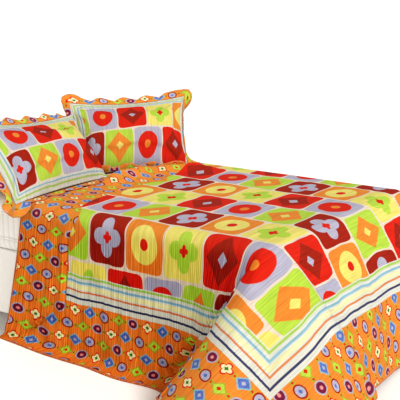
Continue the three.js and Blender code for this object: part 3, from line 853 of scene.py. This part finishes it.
def flange(sham, materials):
    """The scalloped flange round a sham, bent by its own angle on each side."""
    point, normal = seam_plane(sham["corners"], SHAM["draw_in"], SHAM["top_draw_in"])
    k = np.linspace(-1, 1, FLANGE["stations"], endpoint=False)
    cornerward = np.clip((np.abs(k) - FLANGE["corner_from"]) / (1 - FLANGE["corner_from"]), 0, 1)
    share = (1 - np.sqrt(1 - cornerward ** 2)) / 2
    rim, outs, bends, full = [], [], [], []
    for n, out in enumerate(OUTWARD):
        before, after = OUTWARD[n - 1], OUTWARD[(n + 1) % 4]
        rim.append(point(out[0] + after[0] * k, out[1] + after[1] * k))
        other = np.where((k < 0)[:, None], before, after)
        outs.append(np.array(out) * (1 - share[:, None]) + other * share[:, None])
        along, corners = sham["bends"][n], sham["corner_bends"]
        corner = np.where(k < 0, corners[n], corners[(n + 1) % 4])
        twist = FLANGE["twist"] / (1 + (np.abs(along - corner) / FLANGE["soft_twist"]) ** 2)
        near_corner = np.abs(k) ** twist
        bends.append(along + (corner - along) * near_corner)
        tuck = FLANGE["tuck"] if n == sham["tucked"] else 1
        full.append(tuck + (1 - tuck) * near_corner)
    rim, outs, bends, full = map(np.concatenate, (rim, outs, bends, full))
    widen = np.tile(FLANGE["corner"] * np.sin(cornerward * math.pi / 2), len(OUTWARD))
    steps = np.linalg.norm(np.roll(rim, -1, axis=0) - rim, axis=1)
    gone = np.concatenate([[0], np.cumsum(steps)[:-1]])
    lobes = round(steps.sum() / FLANGE["lobe"])
    across = point(np.array(1.0), np.array(0.0)) - point(np.array(-1.0), np.array(0.0))
    across /= np.linalg.norm(across)
    upward = np.cross(normal, across)
    outward = outs[:, :1] * across + outs[:, 1:] * upward
    outward /= np.linalg.norm(outward, axis=1, keepdims=True)

    def way(angle):
        angle = np.radians(angle)[..., None]
        return outward[:, None] * np.cos(angle) + normal * np.sin(angle)

    turn = gone / steps.sum() * lobes * math.pi
    width = full * (FLANGE["width"] + widen + FLANGE["scallop"] * np.abs(np.cos(turn)))
    share = np.linspace(0, 1, FLANGE["rings"])
    first = np.clip(bends, -FLANGE["first_bend"], FLANGE["first_bend"])[:, None]
    out = width[:, None] * share
    middle = rim[:, None] + way(first) * (FLANGE["gap"] + FLANGE["thick"] / 2)
    middle = middle + way(first + (bends[:, None] - first) * share) * out[..., None]
    middle = middle + normal * (FLANGE["ruffle"] * np.sin(2 * turn)[:, None] * share)[..., None]
    if sham["bends"][0] < LYING["hanging"]:
        rest = MATTRESS["top"] + TOUCH + QUILT["thick"] + FLANGE["thick"]
        lift = middle[..., 2] - rest
        lying = ramp(lift, LYING["from"], LYING["full"]) * (lift > -LYING["under"])
        middle[..., 2] += lift * (LYING["lifted"] - 1) * lying
    looped = np.concatenate([middle[-1:], middle, middle[:1]])
    half = -grid_normals(looped)[1:-1] * FLANGE["thick"] / 2
    places = np.stack([out, np.broadcast_to(gone[:, None], out.shape)], -1)
    name = sham["name"]
    piece = shell(f"scalloped_flange_{name}", f"flange_{name}",
                  (middle + half, middle - half), places, materials, looped=True,
                  facts={"edge": width[:, None] - out})


def pillow(each, material):
    """A plain pillow, pressed where pillows meet and dented where a sham leans."""
    pressed = PILLOW["pressed"] * PILLOW["thick"]
    middle = MATTRESS["top"] + TOUCH + each["level"] * (pressed + TOUCH) + pressed / 2
    turn = math.radians(each["turn"])
    corners = []
    for x, y in ((-1, -1), (1, -1), (1, 1), (-1, 1)):
        x, y = x * PILLOW["width"] / 2, y * PILLOW["height"] / 2
        corners.append((each["centre"][0] + x * math.cos(turn) - y * math.sin(turn),
                        each["centre"][1] + x * math.sin(turn) + y * math.cos(turn), middle))

    def crown(s, t):
        return (PILLOW["thick"] / 2 - PILLOW["seam"]) * fullness(s, t)

    def flattened(s, t):
        return np.minimum(crown(s, t), pressed / 2 - PILLOW["seam"])

    def dented(s, t):
        return crown(s, t) * (1 - each["dent"] * ramp(s, *DENT["across"]) * ramp(t, *DENT["up"]))

    piece, rim = filled(
        f"plain_pillow_{each['name']}", f"pillow_{each['name']}", corners, PILLOW,
        dented if each["level"] else flattened, flattened, [material])
    settle(piece, rim, "pillow")


# ---- bed ----
# Outlines are (inset, height) in millimetres, and a foot's is (share of radius, share of height).
ENDS = (300, 120)  # where the flat ends of a slab are cut into rings
PIPING = ((0, -14), (3, -8), (5, -6), (1.2, -3.5), (0.2, 0), (1.2, 3.5), (5, 6), (3, 8), (0, 14))
PIPING_PAST_EDGE = 16
BEVEL = ((9, 0), (4, 1.5), (1.2, 4.5), (0, 9))
EDGE_RINGS = 8
LEAST_CORNER = 4
FOOT_OUTLINE = (
    (0.2, 0.0), (0.74, 0.0), (0.8, 0.04), (0.84, 0.3), (0.9, 0.7), (0.93, 0.82), (1.0, 0.86),
    (1.0, 0.97), (0.96, 1.0), (0.2, 1.0),
)
FOOT_SIDES = 32
FOOT_SHARP = 40


def stacked(name, rings, material):
    """A closed mesh from rings of points in scene metres, from its underside up."""
    count = len(rings[0])
    top = count * (len(rings) - 1)
    faces = [(a + i, a + (i + 1) % count, a + count + (i + 1) % count, a + count + i)
             for a in range(0, top, count) for i in range(count)]
    faces += [tuple(range(count - 1, -1, -1)), tuple(range(top, top + count))]
    mesh = bpy.data.meshes.new(name)
    mesh.from_pydata(np.concatenate(rings).tolist(), [], faces)
    mesh.materials.append(material)
    return mesh


def plan_ring(width, length, radius, count=9):
    """A rounded rectangle's outline, anticlockwise."""
    x, y = width / 2 - radius, length / 2 - radius
    ring = []
    for quarter, (cx, cy) in enumerate(((x, -y), (x, y), (-x, y), (-x, -y))):
        angles = (quarter - 1 + np.linspace(0, 1, count)) * math.pi / 2
        ring += [(cx + radius * math.cos(a), cy + radius * math.sin(a)) for a in angles]
    return np.array(ring)


def slab(name, node, slot, size, outline, *cloth):
    """A solid with a rounded plan, covered in a woven cloth. Its outline runs from the
    underside's middle to the top's."""
    rings = []
    for inset, z in outline:
        ring = plan_ring(size["width"] - 2 * inset, size["length"] - 2 * inset,
                         max(size["corner"] - inset, LEAST_CORNER))
        rings.append(bed_place(np.column_stack([ring, np.full(len(ring), z)])))
    placed(name, stacked(name, rings, plain(slot, MATT, woven, *cloth)), node)


def bed():
    """The mattress with its piped edges, the covered base and the six feet."""
    edge, top = MATTRESS["edge"], MATTRESS["top"]
    bottom = top - MATTRESS["thick"]
    turns = np.linspace(0, math.pi / 2, EDGE_RINGS)
    low = [(edge - edge * math.sin(a), bottom + edge - edge * math.cos(a)) for a in turns]
    high = [(edge - edge * math.cos(a), top - edge + edge * math.sin(a)) for a in turns]
    seams = [(inset, seam + z) for seam in (bottom + edge + PIPING_PAST_EDGE,
                                            top - edge - PIPING_PAST_EDGE) for inset, z in PIPING]
    outline = [(ENDS[0], bottom), (ENDS[1], bottom), *low, *seams, *high,
               (ENDS[1], top), (ENDS[0], top)]
    slab("mattress_cover", "mattress", "mattress_ticking", MATTRESS, outline,
         "ticking", "white", ticking_stripes)
    underside, top = BASE["underside"], bottom - TOUCH
    outline = [(ENDS[0], underside), *[(inset, underside + z) for inset, z in BEVEL],
               *[(inset, top - z) for inset, z in reversed(BEVEL)], (ENDS[0], top)]
    slab("upholstered_base", "bed_base", "base_cloth", BASE, outline, "linen", "ticking", flecks)
    wood = plain("foot_wood", WAXED, timber)
    for row in (1, 2, 3):
        for side in (1, 2):
            turned_foot(row, side, wood)


def turned_foot(row, side, material):
    """A tapered foot, turned from wood."""
    node = f"bed_foot_{row}_{side}"
    low, high = (np.array(corner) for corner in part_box(node))
    centre, radius = (low + high) / 2, (high - low)[0] / 2
    angles = np.arange(FOOT_SIDES) * 2 * math.pi / FOOT_SIDES
    circle = np.column_stack([np.cos(angles), np.sin(angles)])
    rings = []
    for share, height in FOOT_OUTLINE:
        z = np.full(FOOT_SIDES, low[2] + (high - low)[2] * height)
        rings.append(np.column_stack([centre[:2] + radius * share * circle, z]))
    mesh = stacked(node, rings, material)
    placed(f"turned_foot_{row}_{side}", mesh, node)
    mesh.set_sharp_from_angle(angle=math.radians(FOOT_SHARP))


# ---- plain materials ----
STRIPES = {"pitch": 34, "share": 0.3, "soft": 1.5, "strength": 0.3, "upright": (0.7, 0.05)}
FLECK = {"noise": (900, 1.0, (1, 1, 0.2)), "edge": (0.5, 0.2), "strength": 0.7}
CREASES = (22, 4.0, (1, 1, 0.5))
GRAIN = (70, 5.0, (1, 1, 0.08))
PORES = (420, 3.0, (1, 1, 0.05))
MATT, SOFT, WAXED = (0.6, 0.88, 0.1), (0.5, 0.8, 0.15), (0.5, 0.45)  # relief, roughness, sheen


def ticking_stripes(place):
    """Fine stripes that run up every side and along the top."""
    pitch, width = STRIPES["pitch"], STRIPES["pitch"] * STRIPES["share"]
    ends = own(place.tree, "Normal").parts()[0].abs().under(*STRIPES["upright"])
    lengthwise, crosswise = (
        (part / MM).wrap(pitch).near(pitch / 2, width, STRIPES["soft"])
        for part in place.parts()[:2]
    )
    return (lengthwise * ends + crosswise * (-ends + 1)) * STRIPES["strength"]


def flecks(place):
    """The uneven threads of a coarse cloth."""
    return place.noise(*FLECK["noise"]).under(*FLECK["edge"]) * FLECK["strength"]


def woven(place, thread, other, pattern):
    """Plain woven cloth. pattern gives the share of its other colour at a place."""
    colour = pattern(place).blend(thread, other).shaded(place.noise(9, 3.0) * 0.08 + 0.92)
    return colour, place.noise(1400) * 0.25 + place.noise(40, 3.0) * 0.9


def cotton(place):
    """Plain white pillow cotton with soft creases."""
    tone = place.noise(7, 3.0)
    colour = tone.under(0.5, 0.3).blend("linen", "ticking").shaded(tone * 0.06 + 0.95)
    return colour, place.noise(*CREASES) * 3.0 + place.noise(1600) * 0.15


def timber(place):
    """Stained wood with its grain upright."""
    grain, pores = place.noise(*GRAIN), place.noise(*PORES)
    colour = grain.under(0.52, 0.14).blend("oak", "walnut").shaded(pores * 0.3 + 0.8)
    return colour, pores * 0.3 + grain * 0.3


def plain(name, shine, look, *details):
    """A material without print. look gives its colour and its relief at a place."""
    material, tree, shader = material_tree(name)
    finish(shader, *look(own(tree), *details), *shine)
    return material


# ---- stage, light and camera ----
SKY = 0.32  # how bright the white surroundings are, as light
FLOOR = 40  # metres to each side
LIGHTS = (  # name, direction towards it, strength, spread in degrees and tint
    ("key", (-0.12, -1.0, 1.05), 1.93, 14, (1.0, 0.985, 0.96)),
    ("fill", (-1.0, -0.15, 0.45), 0.5, 24, (1.0, 0.86, 0.7)),
)
CAMERA = {"place": (-3706.0, -2889.0, 1727.0), "lens": 90, "sensor": 36,
          "turns": ((-54.49, "Z"), (90 - 13.68, "X"), (-0.32, "Z"))}


def stage():
    """A wide pale floor in even white surroundings, which look white and light the part less."""
    mesh = bpy.data.meshes.new("floor")
    corners = [(x * FLOOR, y * FLOOR, 0) for x, y in ((-1, -1), (1, -1), (1, 1), (-1, 1))]
    mesh.from_pydata(corners, [], [(0, 1, 2, 3)])
    material, tree, shader = material_tree("pale_floor")
    tone = own(tree).noise(1.5)
    colour = tone.blend("snow", "linen").shaded(tone * 0.02 + 0.98)
    feed(shader, {"Base Color": colour, "Roughness": 0.9})
    mesh.materials.append(material)
    added("floor", mesh)
    world = bpy.context.scene.world or bpy.data.worlds.new("studio")
    bpy.context.scene.world = world
    world.use_nodes = True
    seen = term(world.node_tree, "LightPath", output="Is Camera Ray")
    feed(world.node_tree.nodes["Background"],
         {"Color": (1, 1, 1, 1), "Strength": seen * (1 - SKY) + SKY})


def lights():
    """A broad soft key from the foot, and a weak warm fill on the near side."""
    for name, towards, strength, spread, tint in LIGHTS:
        data = bpy.data.lights.new(name, "SUN")
        data.energy = strength
        data.angle = math.radians(spread)
        data.color = tint
        added(name, data).rotation_euler = Vector(towards).to_track_quat("Z", "Y").to_euler()


def camera():
    """Low over the near foot corner, looking down the bed towards its far head corner."""
    data = bpy.data.cameras.new("camera")
    data.lens = CAMERA["lens"]
    data.sensor_width = CAMERA["sensor"]
    view = added("camera", data)
    place = Matrix.Translation(bed_place(np.array(CAMERA["place"])))
    for angle, axis in CAMERA["turns"]:
        place = place @ Matrix.Rotation(math.radians(angle), 4, axis)
    view.matrix_world = place
    bpy.context.scene.camera = view


stage()
lights()
camera()
reverse_print = cloth_surface("quilted_reverse", paint_reverse)
bedspread(cloth_surface("quilted_print", paint_bedspread), reverse_print)
# the shams' print is painted darker, as shade
sham_print_painted_shade = cloth_surface("sham_print_painted_shade", paint_sham, SHAM_PAINTED_SHADE)
flange_print = cloth_surface("flange_print", paint_flange)
for each in SHAMS:
    sham_body(each, [sham_print_painted_shade, reverse_print])
    flange(each, [flange_print])
white_cotton = plain("pillow_white", SOFT, cotton)
for each in PILLOWS:
    pillow(each, white_cotton)
bed()
bpy.context.scene.view_settings.view_transform = "Standard"
bpy.context.scene.view_settings.look = "High Contrast"
